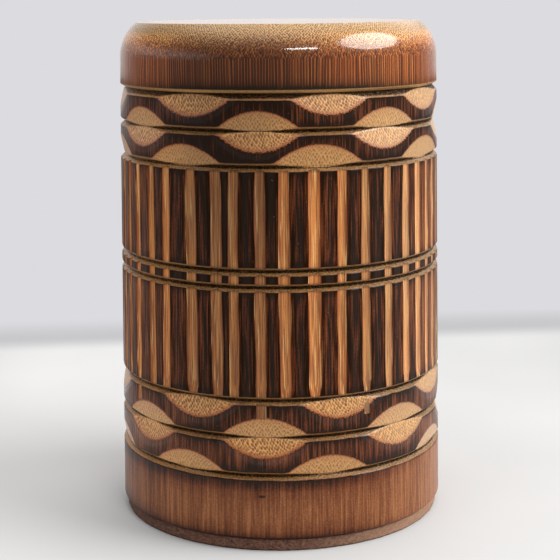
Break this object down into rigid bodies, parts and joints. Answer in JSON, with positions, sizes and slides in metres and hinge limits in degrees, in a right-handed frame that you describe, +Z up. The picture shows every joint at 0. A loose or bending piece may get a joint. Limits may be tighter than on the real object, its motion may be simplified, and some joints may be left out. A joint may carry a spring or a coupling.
{
  "type": "tea caddy",
  "caption": "Cylindrical carved bamboo tea caddy with ring grooves, scallops and flutes, a glued base disc, and a round-shouldered lid that lifts off a neck sleeve.",
  "frame": {"origin": "on the caddy's axis, in the plane that its base disc stands on", "axes": "+Z up along the culm's axis; -Y is the side shown in the picture; +X is to the right seen from that side"},
  "size_m": [0.0982, 0.0982, 0.147],
  "materials": {
    "carved_bamboo": "gloss lacquer over heat-darkened bamboo, cut through to tan",
    "dark_bamboo": "gloss lacquer over heat-darkened bamboo",
    "pale_bamboo": "sanded, unlacquered",
    "lid_wood": "gloss lacquer",
    "fibreboard": "matt pressed fibre"
  },
  "bodies": {
    "caddy": {"body_tube": "carved_bamboo", "base_disc": "fibreboard", "neck_sleeve": "pale_bamboo"},
    "lid": {"lid_ring": "dark_bamboo", "lid_disc": "lid_wood"}
  },
  "joints": [
    {"name": "lid_lift", "type": "slide", "parent": "caddy", "child": "lid", "axis": [0, 0, 1], "range_m": [0, 0.04]}
  ]
}
